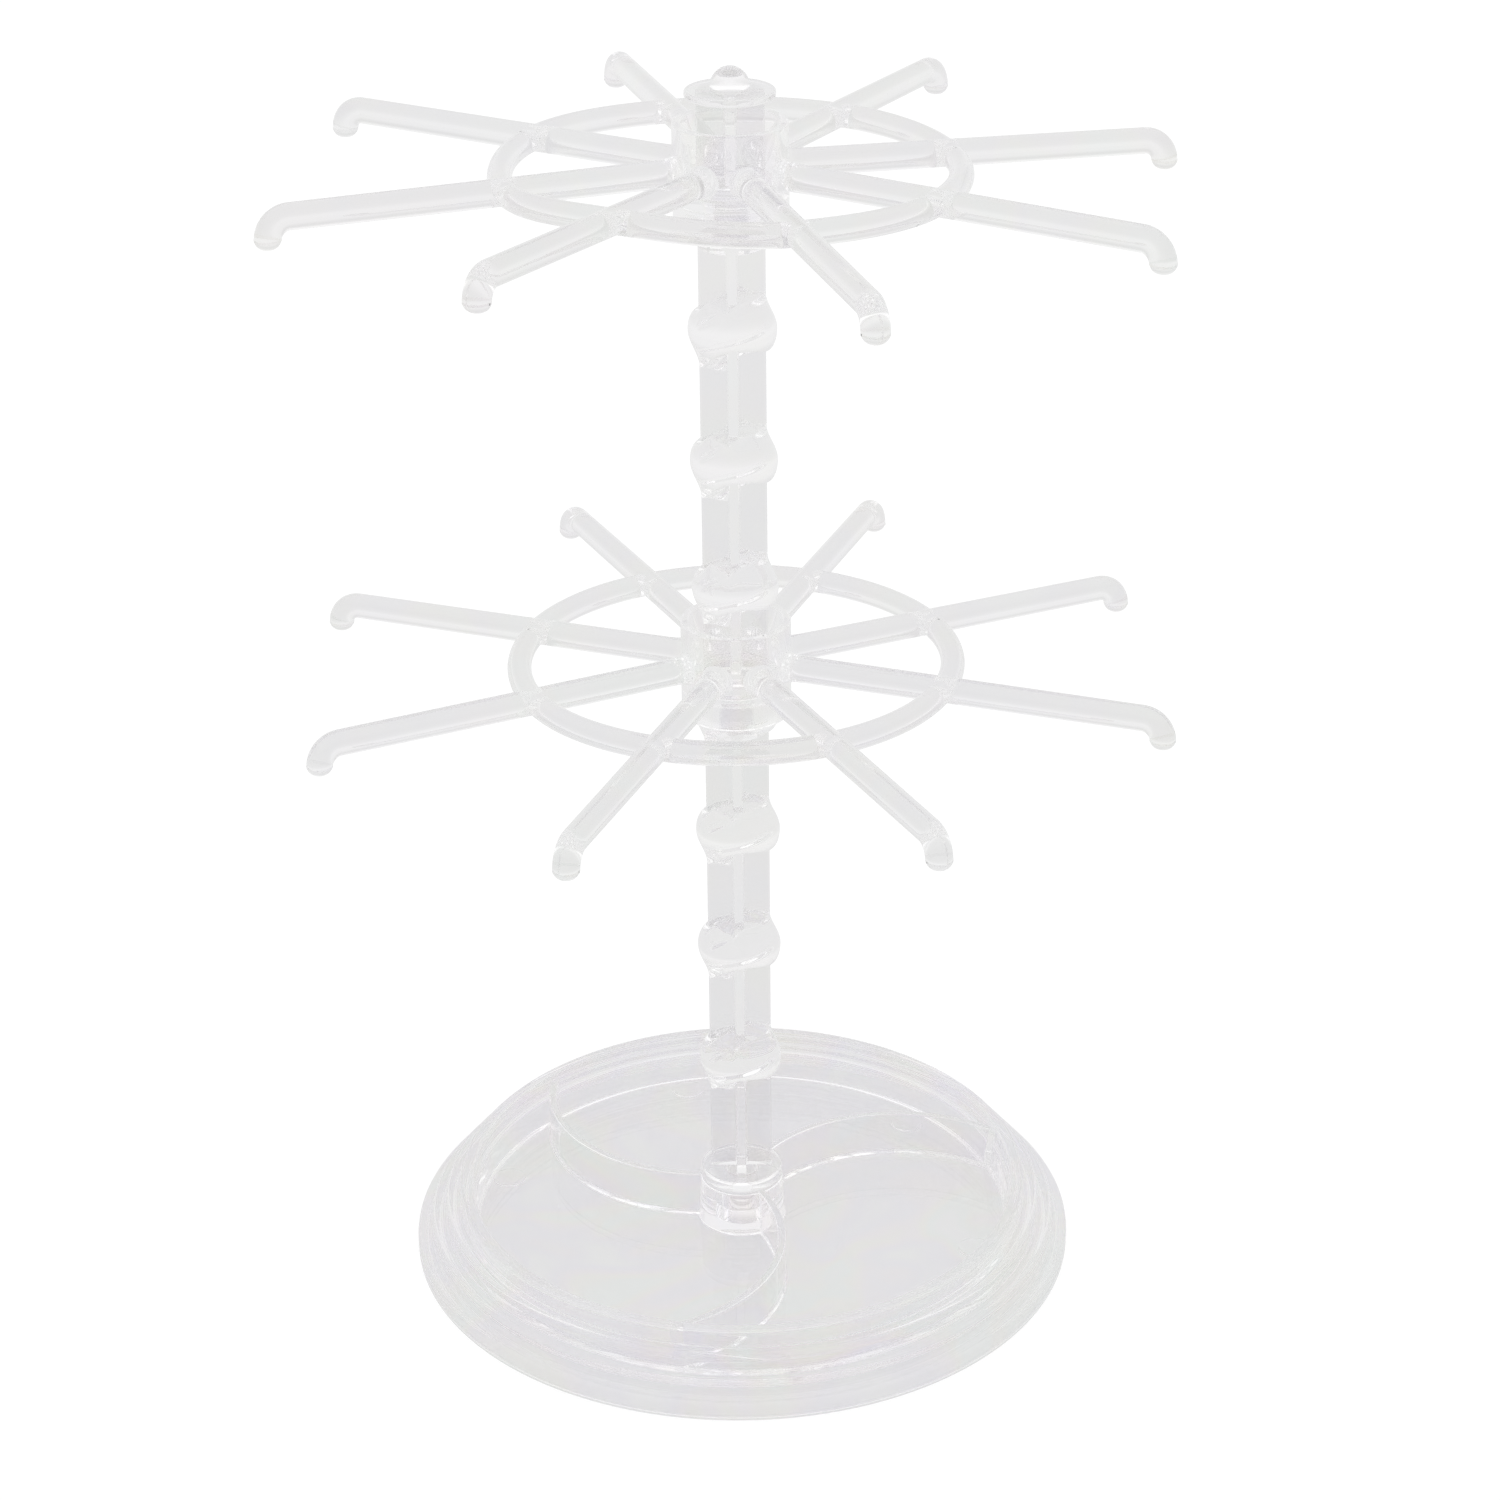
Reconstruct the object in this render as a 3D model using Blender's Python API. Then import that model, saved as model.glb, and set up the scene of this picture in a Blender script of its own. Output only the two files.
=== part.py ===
"""Two-tier turning bracelet stand in clear plastic: a tray with three curved dividers, two cross-shaped
poles with knots, two carousels of hooked arms that spin on the poles' joints, and a cap.

Metres, +Z up, with the origin on the axis at the tray's foot."""

import math

import bmesh
import bpy

MM = 0.001

# Clearances
fixed_gap = 0.3 * MM
running_gap = 0.3 * MM
bearing_gap = 0.4 * MM

# Tray
tray_radius = 76.0 * MM
tray_height = 16.0 * MM
tray_steps = 4
tray_step_width = 3.4 * MM
tray_wall = 2.0 * MM
tray_edge_round = 0.9 * MM
floor_top = 4.0 * MM
floor_thickness = 2.0 * MM
rim_width = 3.0 * MM
compartment_draft = 1.0 * MM
divider_count = 3
divider_bend_share = 0.615
divider_root = 2.1 * MM
divider_thickness = 1.7 * MM
divider_drop = 1.3 * MM
socket_radius = 10.1 * MM
socket_draft = 0.6 * MM
socket_top = 14.6 * MM

# Poles
fin_span = 14.0 * MM
fin_thickness = 2.2 * MM
collar_radius = 9.4 * MM
collar_thickness = 2.7 * MM
collar_edge_round = 0.6 * MM
plug_radius = 3.5 * MM
plug_length = 10.3 * MM
plug_chamfer = 0.5 * MM
head_radius = 9.4 * MM
head_thickness = 4.5 * MM
head_boss_radius = 6.8 * MM
head_boss_floor = 1.8 * MM

# Knots on the poles, each a swelling whose edges climb like one turn of a coarse thread
knot_radius = 9.35 * MM
knot_core_radius = 1.9 * MM
knot_first_height = 46.2 * MM
knot_below_tier = 12.5 * MM
lower_knots = 4
upper_knots = 3
knot_half_height = 4.6 * MM
knot_tail = 3.6 * MM
knot_front_lift = 2.7 * MM
knot_underside = 0.22

# Carousels
lower_tier_height = 146.3 * MM
tier_spacing = 110.0 * MM
lower_tier_turn = math.radians(249.6)
upper_tier_turn = math.radians(241.0)
arm_count = 8
arm_radius = 2.85 * MM
arm_taper = 0.05
arm_root_depth = 1.1 * MM
arm_reach = 95.4 * MM
arm_tip_round = 0.5 * MM
hook_bend = 4.6 * MM
hook_drop = 6.3 * MM
ring_radius = 47.1 * MM
ring_tube = 2.6 * MM
hub_radius = 12.0 * MM
hub_wall = 1.8 * MM
hub_edge_round = 0.4 * MM
hub_rise = 9.8 * MM
hub_skirt = 11.8 * MM
web_depth = 4.6 * MM
web_thickness = 2.0 * MM

# Cap
flange_radius = 9.4 * MM
flange_thickness = 1.6 * MM
flange_edge_round = 0.5 * MM
flange_lift = 5.0 * MM
dome_radius = 4.1 * MM
dome_lift = 0.6 * MM

# Facets
tray_sides = 60
divider_facets = 12
hub_sides = 32
ring_sides = 32
tube_sides = 8
rod_resolution = 2
bend_facets = 3
pole_sides = 20
knot_sides = 16
knot_rows = (0.3, 0.72, 1.0)
knot_underside_rows = (0.25, 1.0)
dome_facets = 4
smooth_angle = math.radians(35)

# Look
plastic_tint = (0.93, 0.93, 0.95)
plastic_roughness = 0.04
plastic_ior = 1.49

# Sizes that follow from the others
rim_radius = tray_radius - (tray_steps - 1) * tray_step_width
compartment_radius = rim_radius - rim_width - compartment_draft
divider_bend = divider_bend_share * compartment_radius
upper_tier_height = lower_tier_height + tier_spacing
lower_seat = socket_top + fixed_gap
knot_pitch = (lower_tier_height - knot_below_tier - knot_first_height) / (lower_knots - 1)


def web_top(tier_height):
    return tier_height - web_depth


def pole_top(tier_height):
    """Top of the pole below a tier: the tier's web turns just above it."""
    return web_top(tier_height) - web_thickness - running_gap


def seat_above(tier_height):
    """Underside of the collar that keeps a tier down."""
    return web_top(tier_height) + running_gap


# Basic shapes

def clear_scene():
    for obj in list(bpy.data.objects):
        bpy.data.objects.remove(obj, do_unlink=True)


def add_object(name, mesh):
    obj = bpy.data.objects.new(name, mesh)
    bpy.context.scene.collection.objects.link(obj)
    return obj


def add_helper(name, mesh):
    """An object that only shapes others: it stays out of renders and shows as wires."""
    obj = add_object(name, mesh)
    obj.hide_render = True
    obj.display_type = "WIRE"
    return obj


def mesh_from(bm, name):
    bmesh.ops.recalc_face_normals(bm, faces=bm.faces)
    mesh = bpy.data.meshes.new(name)
    bm.to_mesh(mesh)
    bm.free()
    return mesh


def turned(name, profile, sides, closed=False):
    """Spins a profile of (radius, height) points about Z, with a facet's middle on +X. An open profile
    starts and ends on the axis."""
    bm = bmesh.new()
    start = math.pi / sides
    cosine, sine = math.cos(start), math.sin(start)
    points = [bm.verts.new((radius * cosine, radius * sine, height)) for radius, height in profile]
    pairs = list(zip(points, points[1:]))
    if closed:
        pairs.append((points[-1], points[0]))
    edges = [bm.edges.new(pair) for pair in pairs]
    turn = {"cent": (0, 0, 0), "axis": (0, 0, 1), "angle": 2 * math.pi}
    bmesh.ops.spin(bm, geom=points + edges, steps=sides, use_merge=True, **turn)
    bmesh.ops.remove_doubles(bm, verts=bm.verts, dist=MM / 1000)
    return mesh_from(bm, name)


def prism(name, outline, bottom, top):
    """Extrudes a plan outline of (x, y) points from one height to another."""
    bm = bmesh.new()
    face = bm.faces.new([bm.verts.new((x, y, bottom)) for x, y in outline])
    moved = bmesh.ops.extrude_face_region(bm, geom=[face])["geom"]
    raised = [item for item in moved if isinstance(item, bmesh.types.BMVert)]
    bmesh.ops.translate(bm, verts=raised, vec=(0, 0, top - bottom))
    return mesh_from(bm, name)


def swept(name, path):
    """A round rod along a list of (point, radius), closed with flat ends."""
    curve = bpy.data.curves.new(name, "CURVE")
    curve.dimensions = "3D"
    curve.bevel_depth = arm_radius
    curve.bevel_resolution = rod_resolution
    curve.use_fill_caps = True
    spline = curve.splines.new("POLY")
    spline.points.add(len(path) - 1)
    for spot, (place, radius) in zip(spline.points, path):
        spot.co = (*place, 1)
        spot.radius = radius / arm_radius
    guide = add_object(name, curve)
    bm = bmesh.new()
    bm.from_mesh(evaluated_mesh(guide))
    bpy.data.objects.remove(guide, do_unlink=True)
    bmesh.ops.remove_doubles(bm, verts=bm.verts, dist=MM / 1000)
    return mesh_from(bm, name)


def stacked(name, rows):
    """A closed solid from rings of points, one above the other, with a fan over each end."""
    bm = bmesh.new()
    rings = [[bm.verts.new(point) for point in row] for row in rows]
    for below, above in zip(rings, rings[1:]):
        for i, j in around(below):
            bm.faces.new((below[i], below[j], above[j], above[i]))
    for ring in (rings[0], rings[-1]):
        middle = bm.verts.new((0, 0, sum(corner.co.z for corner in ring) / len(ring)))
        for i, j in around(ring):
            bm.faces.new((ring[i], ring[j], middle))
    return mesh_from(bm, name)


def around(ring):
    return [(i, (i + 1) % len(ring)) for i in range(len(ring))]


def evaluated_mesh(obj):
    bpy.context.view_layer.update()
    graph = bpy.context.evaluated_depsgraph_get()
    return bpy.data.meshes.new_from_object(obj.evaluated_get(graph))


def combine(obj, tool, operation="UNION"):
    step = obj.modifiers.new(operation.title(), "BOOLEAN")
    step.operation = operation
    step.solver = "EXACT"
    step.object = tool


def rounded(radius, height, amount, above=True):
    """Profile points of an outer edge at (radius, height), rounded by amount and listed upwards."""
    short = amount * (1 - math.sqrt(0.5))
    side = -1 if above else 1
    corner = [(radius, height + side * amount), (radius - short, height + side * short)]
    corner.append((radius - amount, height))
    return corner if above else corner[::-1]


# Tray

def tray_profile():
    """The tray's section: out along its underside, up the stepped skirt, and in to the socket's bore."""
    step_drop = tray_height / tray_steps
    wall_back = compartment_radius + tray_wall
    floor_bottom = floor_top - floor_thickness
    points = [(0, floor_bottom), (wall_back, floor_bottom)]
    points.append((wall_back, tray_height - step_drop - tray_wall))
    for step in range(1, tray_steps):
        tread = tray_height - step * step_drop
        riser_back = rim_radius + step * tray_step_width - tray_wall
        lowest = step == tray_steps - 1
        points.append((riser_back, tread - tray_wall))
        points.append((riser_back, 0 if lowest else tread - step_drop - tray_wall))
    for step in reversed(range(tray_steps)):
        tread = tray_height - step * step_drop
        riser = rim_radius + step * tray_step_width
        points.append((riser, tread - step_drop))
        points.extend(rounded(riser, tread, tray_edge_round))
    points.append((compartment_radius + compartment_draft, tray_height))
    points.append((compartment_radius, floor_top))
    points.append((socket_radius, floor_top))
    points.append((socket_radius - socket_draft, socket_top))
    bore_bottom = lower_seat - plug_length - fixed_gap
    points.append((plug_radius + fixed_gap, socket_top))
    points.append((plug_radius + fixed_gap, bore_bottom))
    points.append((0, bore_bottom))
    return points


def divider_outline():
    """Plan of one divider: an arc that leaves the socket along a radius and ends in the tray's wall."""
    start = socket_radius - divider_root
    wall_middle = compartment_radius + (compartment_draft + tray_wall) / 2
    from_axis = math.hypot(start, divider_bend)
    facing = math.atan2(divider_bend, -start)

    def side(radius):
        reach = (wall_middle**2 - from_axis**2 - radius**2) / (2 * from_axis * radius)
        first = 1.5 * math.pi
        last = facing + math.acos(reach)
        angles = [first + (last - first) * i / divider_facets for i in range(divider_facets + 1)]
        middle_x, middle_y = -start, divider_bend
        return [(middle_x + radius * math.cos(a), middle_y + radius * math.sin(a)) for a in angles]

    return side(divider_bend + divider_thickness / 2) + side(divider_bend - divider_thickness / 2)[::-1]


def make_tray():
    tray = add_object("base_tray", turned("base_tray", tray_profile(), tray_sides))
    blade_top = tray_height - divider_drop
    blade_mesh = prism("divider", divider_outline(), floor_top - floor_thickness / 2, blade_top)
    for number in range(divider_count):
        blade = add_helper(f"divider_{number + 1}", blade_mesh)
        blade.rotation_euler.z = 2 * math.pi * number / divider_count
        combine(tray, blade)
    return tray


# Knots

def lobe(angle, facing, power=3):
    """1 at the angle that it faces, falling smoothly to 0 on the far side."""
    return ((1 + math.cos(angle - facing)) / 2) ** power


def knot_point(angle, share):
    """A point of a knot's surface. The share runs from -1 to 1 between the edges where the knot meets the
    fins, and a little past them underneath. The swelling lifts at the front, and runs out in a long tail
    below on the left and above on the right."""
    front, right, left = 1.5 * math.pi, 0.0, math.pi
    peak = knot_front_lift * lobe(angle, front, 2)
    lift = knot_front_lift * lobe(angle, front)
    above = knot_half_height + knot_tail * lobe(angle, right) + lift - peak
    below = knot_half_height + knot_tail * lobe(angle, left) - lift + peak
    tail = lobe(angle, right if share > 0 else left, 2)
    size = min(abs(share), 1)
    swelling = (1 - tail) * math.sqrt(1 - size**2) + tail * math.cos(math.pi / 2 * size) ** 2
    fin_reach = fin_span / 2
    radius = fin_reach + (knot_radius - fin_reach) * swelling
    past = max(abs(share) - 1, 0) / knot_underside
    radius -= (fin_reach - knot_core_radius) * math.sqrt(past)
    height = peak + share * (above if share > 0 else below)
    return (radius * math.cos(angle), radius * math.sin(angle), height)


def knot_mesh():
    half = [*knot_rows, *(1 + knot_underside * share for share in knot_underside_rows)]
    shares = [-share for share in reversed(half)] + half
    angles = [2 * math.pi * (i + 0.5) / knot_sides for i in range(knot_sides)]
    return stacked("knot", [[knot_point(angle, share) for angle in angles] for share in shares])


# Poles and cap

def foot_mesh():
    """Collar and plug at the bottom of a pole or of the cap, with the collar's underside at height 0."""
    profile = [(0, -plug_length), (plug_radius - plug_chamfer, -plug_length)]
    profile += [(plug_radius, plug_chamfer - plug_length), (plug_radius, 0)]
    profile += rounded(collar_radius, 0, collar_edge_round, above=False)
    profile += rounded(collar_radius, collar_thickness, collar_edge_round)
    profile.append((0, collar_thickness))
    return turned("foot", profile, pole_sides)


def cross_outline():
    half_span, half_fin = fin_span / 2, fin_thickness / 2
    quarter = [(half_span, -half_fin), (half_span, half_fin), (half_fin, half_fin)]
    outline = []
    for turn in range(4):
        cosine, sine = round(math.cos(turn * math.pi / 2)), round(math.sin(turn * math.pi / 2))
        outline += [(x * cosine - y * sine, x * sine + y * cosine) for x, y in quarter]
    return outline


def head_mesh(length, bore_bottom):
    """The bearing head that a tier's web turns on, over a boss that holds the next plug."""
    boss_bottom = bore_bottom - head_boss_floor
    head_bottom = length - head_thickness
    profile = [(0, boss_bottom), (head_boss_radius, boss_bottom), (head_boss_radius, head_bottom)]
    profile += rounded(head_radius, head_bottom, collar_edge_round, above=False)
    profile += rounded(head_radius, length, collar_edge_round)
    profile.append((0, length))
    return turned("head", profile, pole_sides)


def make_pole(name, seat, tier_height, knot_heights):
    """A pole from its seat up to the tier that it carries, with its origin under its collar. The last
    cutter opens the bore for the next plug and trims whatever rises past the head."""
    length = pole_top(tier_height) - seat
    bore_bottom = seat_above(tier_height) - plug_length - fixed_gap - seat
    pole = add_object(name, foot_mesh())
    pole.location.z = seat
    cross_top = bore_bottom - head_boss_floor / 2
    parts = [(0, prism("fins", cross_outline(), collar_thickness / 2, cross_top))]
    parts.append((0, head_mesh(length, bore_bottom)))
    swelling = knot_mesh()
    parts += [(height - seat, swelling) for height in knot_heights]
    for number, (height, mesh) in enumerate(parts):
        piece = add_helper(f"{name}_form_{number + 1}", mesh)
        piece.location.z = seat + height
        combine(pole, piece)
    bore_radius, clear_above = plug_radius + fixed_gap, length + 2 * knot_half_height
    bore_profile = [(0, bore_bottom), (bore_radius, bore_bottom), (bore_radius, length)]
    bore_profile += [(hub_radius, length), (hub_radius, clear_above), (0, clear_above)]
    bore = add_helper(f"{name}_bore", turned("bore", bore_profile, pole_sides))
    bore.location.z = seat
    combine(pole, bore, "DIFFERENCE")
    return pole


def make_cap():
    seat = seat_above(upper_tier_height)
    flange_bottom = upper_tier_height + hub_rise + flange_lift - seat
    flange_top = flange_bottom + flange_thickness
    dome_middle = flange_top + dome_lift
    cap = add_object("top_cap", foot_mesh())
    cap.location.z = seat
    stem_mesh = prism("stem", cross_outline(), collar_thickness / 2, flange_bottom + flange_thickness / 2)
    stem = add_helper("cap_stem", stem_mesh)
    profile = [(0, flange_bottom)]
    profile += rounded(flange_radius, flange_bottom, flange_edge_round, above=False)
    profile += rounded(flange_radius, flange_top, flange_edge_round)
    profile.append((dome_radius, flange_top))
    for step in range(dome_facets):
        angle = math.pi / 2 * step / dome_facets
        profile.append((dome_radius * math.cos(angle), dome_middle + dome_radius * math.sin(angle)))
    profile.append((0, dome_middle + dome_radius))
    flange = add_helper("cap_flange", turned("flange", profile, pole_sides))
    for piece in (stem, flange):
        piece.location.z = seat
        combine(cap, piece)
    return cap


# Carousels

def hub_mesh():
    """A cup over a skirt, and between them the web that turns on the plug. Height 0 is the arms' plane."""
    inside = hub_radius - hub_wall
    web_hole = plug_radius + bearing_gap
    profile = [(inside, -hub_skirt)]
    profile += rounded(hub_radius, -hub_skirt, hub_edge_round, above=False)
    profile += rounded(hub_radius, hub_rise, hub_edge_round)
    profile += [(inside, hub_rise), (inside, -web_depth), (web_hole, -web_depth)]
    profile += [(web_hole, -web_depth - web_thickness), (inside, -web_depth - web_thickness)]
    return turned("hub", profile, hub_sides, closed=True)


def ring_mesh():
    angles = [2 * math.pi * (i + 0.5) / tube_sides for i in range(tube_sides)]
    circle = [(ring_radius + ring_tube * math.cos(a), ring_tube * math.sin(a)) for a in angles]
    return turned("ring", circle, ring_sides, closed=True)


def arm_mesh():
    """One arm, out along +X from inside the hub's wall and down into its hook."""
    start = hub_radius - arm_root_depth
    bend_start = arm_reach - hook_bend

    def radius_at(x):
        return arm_radius * (1 + arm_taper / 2 - arm_taper * (x - start) / (arm_reach - start))

    path = [((x, 0, 0), radius_at(x)) for x in (start, bend_start)]
    for step in range(1, bend_facets + 1):
        angle = math.pi / 2 * step / bend_facets
        place = (bend_start + hook_bend * math.sin(angle), 0, hook_bend * (math.cos(angle) - 1))
        path.append((place, radius_at(place[0])))
    tip_radius = radius_at(arm_reach)
    path.append(((arm_reach, 0, arm_tip_round - hook_drop), tip_radius))
    path.append(((arm_reach, 0, -hook_drop), tip_radius - arm_tip_round))
    return swept("arm", path)


def make_carousel(name, height, turn, meshes):
    """A tier on its own axis empty. Its origin is where the arms' plane crosses the axis."""
    axis = add_object(f"{name}_axis", None)
    axis.location.z = height
    hub, ring, arm = meshes
    carousel = add_object(name, hub)
    carousel.parent = axis
    carousel.rotation_euler.z = turn
    tools = [(ring, 0.0)] + [(arm, 2 * math.pi * number / arm_count) for number in range(arm_count)]
    for number, (mesh, angle) in enumerate(tools):
        piece = add_helper(f"{name}_form_{number + 1}", mesh)
        piece.parent = axis
        piece.rotation_euler.z = turn + angle
        combine(carousel, piece)
    return carousel


# Finish

def clear_plastic(name):
    material = bpy.data.materials.new(name)
    material.use_nodes = True
    shader = material.node_tree.nodes["Principled BSDF"]
    shader.inputs["Base Color"].default_value = (*plastic_tint, 1)
    shader.inputs["Roughness"].default_value = plastic_roughness
    shader.inputs["Metallic"].default_value = 0.0
    shader.inputs["IOR"].default_value = plastic_ior
    shader.inputs["Transmission Weight"].default_value = 1.0
    return material


def finish(obj):
    """Bakes the object's modifiers into its mesh, gives it its material and shades it smooth."""
    tools = {step.object for step in obj.modifiers}
    mesh = evaluated_mesh(obj)
    obj.modifiers.clear()
    obj.data = mesh
    for tool in tools:
        bpy.data.objects.remove(tool, do_unlink=True)
    mesh.name = obj.name
    mesh.materials.clear()
    mesh.materials.append(clear_plastic(f"{obj.name}_clear_plastic"))
    mesh.shade_smooth()
    mesh.set_sharp_from_angle(angle=smooth_angle)


def main():
    clear_scene()
    heights = [knot_first_height + knot_pitch * number for number in range(lower_knots + upper_knots)]
    upper_seat = seat_above(lower_tier_height)
    carousel_meshes = (hub_mesh(), ring_mesh(), arm_mesh())
    pieces = [
        make_tray(),
        make_pole("lower_pole", lower_seat, lower_tier_height, heights[:lower_knots]),
        make_carousel("lower_carousel", lower_tier_height, lower_tier_turn, carousel_meshes),
        make_pole("upper_pole", upper_seat, upper_tier_height, heights[lower_knots:]),
        make_carousel("upper_carousel", upper_tier_height, upper_tier_turn, carousel_meshes),
        make_cap(),
    ]
    for piece in pieces:
        finish(piece)


main()
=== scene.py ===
# A turning bracelet stand, moulded in polished clear plastic. Six fine pieces stand for the six packed
# solids, on the same sizes, with the fuller rounding, the mould marks, the grooves in the knots and the
# small warps that the solids leave out.
# Metres, +Z up, with the axis through the origin and the floor at height 0.

import math

import bmesh
import bpy
from mathutils import Matrix, Vector


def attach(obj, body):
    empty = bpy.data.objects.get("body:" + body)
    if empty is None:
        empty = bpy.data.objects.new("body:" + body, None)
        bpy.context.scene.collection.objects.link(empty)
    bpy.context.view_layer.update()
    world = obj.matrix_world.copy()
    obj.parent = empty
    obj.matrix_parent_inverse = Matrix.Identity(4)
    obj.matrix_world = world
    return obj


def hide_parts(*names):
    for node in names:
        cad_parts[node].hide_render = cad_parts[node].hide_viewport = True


MM = 0.001


def colour(red, green, blue):
    return (red, green, blue, 1)


def grey(level):
    return colour(level, level, level)


# Clearances
fixed_gap = 0.3 * MM
running_gap = 0.3 * MM
bearing_gap = 0.4 * MM

# Tray
tray_radius = 76.0 * MM
tray_height = 16.0 * MM
tray_steps = 4
tray_step_width = 3.4 * MM
tray_wall = 2.0 * MM
floor_top = 4.0 * MM
floor_thickness = 2.0 * MM
rim_width = 3.0 * MM
compartment_draft = 1.0 * MM
divider_count = 3
divider_bend = 38.0 * MM
divider_root = 2.1 * MM
divider_thickness = 1.7 * MM
divider_drop = 1.3 * MM
socket_radius = 10.1 * MM
socket_draft = 0.6 * MM
socket_top = 14.6 * MM
step_round = 1.2 * MM
step_fillet = 0.35 * MM
back_round = 0.8 * MM
rim_round = 0.6 * MM
floor_fillet = 1.1 * MM
foot_round = 0.3 * MM

# Round marks that the mould's ejector pins leave on the tray's floor, placed by (radius, degrees)
pin_mark_radius = 3.8 * MM
pin_mark_rise = 0.3 * MM
pin_mark_sink = 0.5 * MM
pin_mark_round = 0.1 * MM
pin_mark_places = ((57.6 * MM, 164.7), (56.1 * MM, 43.8), (56.5 * MM, 103.7), (56.2 * MM, 343.1))

# Poles
fin_span = 14.0 * MM
fin_thickness = 2.2 * MM
fin_round = 0.35 * MM
fin_fillet = 0.3 * MM
collar_radius = 9.4 * MM
collar_thickness = 2.7 * MM
collar_round = 0.6 * MM
plug_radius = 3.5 * MM
plug_length = 10.3 * MM
plug_round = 0.5 * MM
head_radius = 9.4 * MM
head_thickness = 4.5 * MM
head_boss_radius = 6.8 * MM
head_boss_floor = 1.8 * MM
bore_round = 0.25 * MM

# Knots
knot_radius = 9.35 * MM
knot_core_radius = 1.9 * MM
knot_first_height = 46.2 * MM
knot_below_tier = 12.5 * MM
lower_knots = 4
upper_knots = 3
knot_half_height = 4.6 * MM
knot_tail = 3.6 * MM
knot_front_lift = 2.7 * MM
knot_underside = 0.22
# The notch and the arch have a height, a middle and a spread in degrees. Each groove runs from an angle in
# degrees and a height to another.
knot_notch = (1.2 * MM, 262, 10)
knot_arch = (1.5 * MM, 225, 14)
knot_grooves = ((215, 2.5 * MM, 262, 7.0 * MM), (200, -3.0 * MM, 330, 3.0 * MM))
groove_depth = 0.8 * MM
groove_width = 0.7 * MM
groove_fade = 12

# Carousels
lower_tier_height = 146.3 * MM
tier_spacing = 110.0 * MM
lower_tier_turn = 249.6
upper_tier_turn = 241.0
arm_count = 8
arm_radius = 2.85 * MM
arm_taper = 0.05
arm_root_depth = 1.1 * MM
arm_root_flare = 0.7 * MM
arm_flare_length = 1.0 * MM
arm_reach = 95.4 * MM
arm_tip_round = 2.2 * MM
hook_bend = 4.6 * MM
hook_drop = 6.3 * MM
ring_radius = 47.1 * MM
ring_tube = 2.6 * MM
hub_radius = 12.0 * MM
hub_wall = 1.8 * MM
hub_round = 0.4 * MM
hub_rise = 9.8 * MM
hub_skirt = 11.8 * MM
web_depth = 4.6 * MM
web_thickness = 2.0 * MM

# How far each arm's tip stands above (or below) its tier, in millimetres, clockwise from the first arm
lower_arm_warp = (0.0, -1.1, 0.0, 0.0, 0.0, 0.0, 0.0, 0.0)
upper_arm_warp = (3.9, -1.8, 0.7, -1.1, -1.1, -2.3, -2.0, 0.0)

# Cap
flange_radius = 9.4 * MM
flange_thickness = 1.6 * MM
flange_round = 0.5 * MM
flange_lift = 5.0 * MM
dome_radius = 4.1 * MM
dome_lift = 0.6 * MM

# Fineness of the meshes
tray_sides = 480
divider_slices = 96
pole_sides = 96
hub_sides = 128
ring_sides = 240
tube_sides = 32
bend_slices = 16
tip_slices = 8
straight_slices = 24
corner_slices = 5
dome_slices = 12
knot_sides = 120
knot_rows = 30
underside_rows = 4
mark_sides = 40
smooth_angle = math.radians(32)

# Sizes that follow from the others
rim_radius = tray_radius - (tray_steps - 1) * tray_step_width
compartment_radius = rim_radius - rim_width - compartment_draft
upper_tier_height = lower_tier_height + tier_spacing
lower_seat = socket_top + fixed_gap
knot_pitch = (lower_tier_height - knot_below_tier - knot_first_height) / (lower_knots - 1)
bore_radius = plug_radius + fixed_gap
arm_start = hub_radius - arm_root_depth


def web_top(tier_height):
    return tier_height - web_depth


def pole_top(tier_height):
    return web_top(tier_height) - web_thickness - running_gap


def seat_above(tier_height):
    return web_top(tier_height) + running_gap


# Mesh making

def on_circle(radius, angle, height=0.0):
    return Vector((radius * math.cos(angle), radius * math.sin(angle), height))


def mesh_from(bm, name):
    bmesh.ops.recalc_face_normals(bm, faces=bm.faces)
    mesh = bpy.data.meshes.new(name)
    bm.to_mesh(mesh)
    bm.free()
    return mesh


def eased(corners, closed=False):
    """Plain (x, y) points from (x, y, radius) corners, with an arc of that radius at each corner."""
    points = []
    count = len(corners)
    for number, (x, y, radius) in enumerate(corners):
        corner = Vector((x, y))
        if radius == 0 or (not closed and number in (0, count - 1)):
            points.append(corner)
            continue
        before = (Vector(corners[number - 1][:2]) - corner).normalized()
        after = (Vector(corners[(number + 1) % count][:2]) - corner).normalized()
        half = before.angle(after) / 2
        middle = corner + (before + after).normalized() * radius / math.sin(half)
        start = corner + before * radius / math.tan(half) - middle
        end = corner + after * radius / math.tan(half) - middle
        first = math.atan2(start.y, start.x)
        sweep = math.remainder(math.atan2(end.y, end.x) - first, 2 * math.pi)
        for step in range(corner_slices + 1):
            angle = first + sweep * step / corner_slices
            points.append(middle + Vector((radius * math.cos(angle), radius * math.sin(angle))))
    return points


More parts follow.
